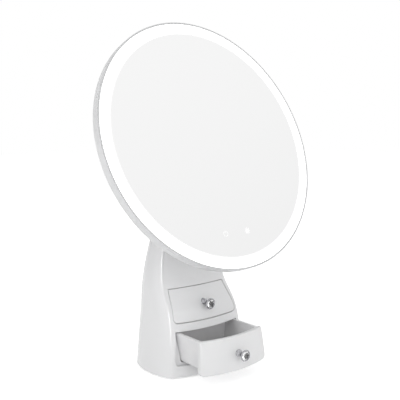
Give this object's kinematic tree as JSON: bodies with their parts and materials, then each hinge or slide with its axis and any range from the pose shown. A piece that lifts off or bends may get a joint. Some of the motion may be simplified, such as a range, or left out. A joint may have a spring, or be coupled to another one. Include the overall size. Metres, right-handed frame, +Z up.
{
  "type": "tabletop vanity mirror with drawers",
  "caption": "Round lit vanity mirror that tilts on a tapered white column, with small bow-fronted jewellery drawers and jewelled knobs.",
  "frame": {"origin": "middle of the column's footprint, on the table that the part stands on", "axes": "+Z up, the drawers and the mirror face -Y, +X to the right of someone who looks at the back"},
  "size_m": [0.28, 0.1506, 0.3855],
  "materials": {
    "gloss_white": "glossy white moulded plastic",
    "bay_white": "satin white moulded plastic",
    "pad_rubber": "matt black rubber",
    "ballast_iron": "rough cast, dark primed",
    "screw_steel": "zinc plated",
    "hinge_steel": "turned steel",
    "washer_nylon": "natural nylon",
    "mirror_silver": "silvered float glass, frosted light band at the rim",
    "diffuser_acrylic": "opal acrylic",
    "foam": "soft foam tape",
    "plate_aluminium": "plain sheet",
    "board_fibre": "white solder mask",
    "board_green": "green solder mask",
    "led_phosphor": "pale yellow phosphor",
    "touch_foam": "conductive rubber",
    "battery_wrap": "shrink wrapped pouch",
    "port_metal": "plated socket shell",
    "lead_cover": "insulated wire",
    "knob_chrome": "bright plated",
    "jewel_clear": "clear domed crystal"
  },
  "bodies": {
    "base": {"column_shell": "gloss_white", "rear_cover": "gloss_white", "rear_cover_screws": "screw_steel", "base_plate": "bay_white", "anti_slip_pad": "pad_rubber", "ballast_plate": "ballast_iron", "base_plate_screws": "screw_steel", "cabinet_screws": "screw_steel", "ballast_screws": "screw_steel", "drawer_cabinet": "bay_white", "bay_bumpers": "pad_rubber", "hinge_yoke": "gloss_white", "yoke_screws": "screw_steel", "hinge_pin": "hinge_steel", "hinge_nut": "hinge_steel", "friction_washers": "washer_nylon", "hinge_caps": "gloss_white"},
    "head": {"rear_housing": "gloss_white", "bezel_ring": "gloss_white", "mirror_glass": "mirror_silver", "light_diffuser": "diffuser_acrylic", "mirror_foam": "foam", "backing_plate": "plate_aluminium", "backing_screws": "screw_steel", "led_board": "board_fibre", "leds": "led_phosphor", "touch_board": "board_green", "touch_pads": "touch_foam", "battery_pack": "battery_wrap", "main_board": "board_green", "board_screws": "screw_steel", "usb_port": "port_metal", "internal_leads": "lead_cover", "tilt_arm": "gloss_white", "arm_screws": "screw_steel"},
    "upper_drawer": {"upper_drawer_box": "bay_white", "upper_drawer_front": "gloss_white", "upper_knob": "knob_chrome", "upper_knob_jewel": "jewel_clear", "upper_knob_screw": "screw_steel"},
    "lower_drawer": {"lower_drawer_box": "bay_white", "lower_drawer_front": "gloss_white", "lower_knob": "knob_chrome", "lower_knob_jewel": "jewel_clear", "lower_knob_screw": "screw_steel"}
  },
  "joints": [
    {"name": "head_tilt", "type": "hinge", "parent": "base", "child": "head", "pos_m": [0, -0.0033, 0.2375], "axis": [-1, 0, 0], "range_deg": [-21.2, 23.8]},
    {"name": "upper_drawer_slide", "type": "slide", "parent": "base", "child": "upper_drawer", "axis": [0, -1, 0], "range_m": [0, 0.0323]},
    {"name": "lower_drawer_slide", "type": "slide", "parent": "base", "child": "lower_drawer", "axis": [0, -1, 0], "range_m": [-0.0413, 0.014]}
  ]
}
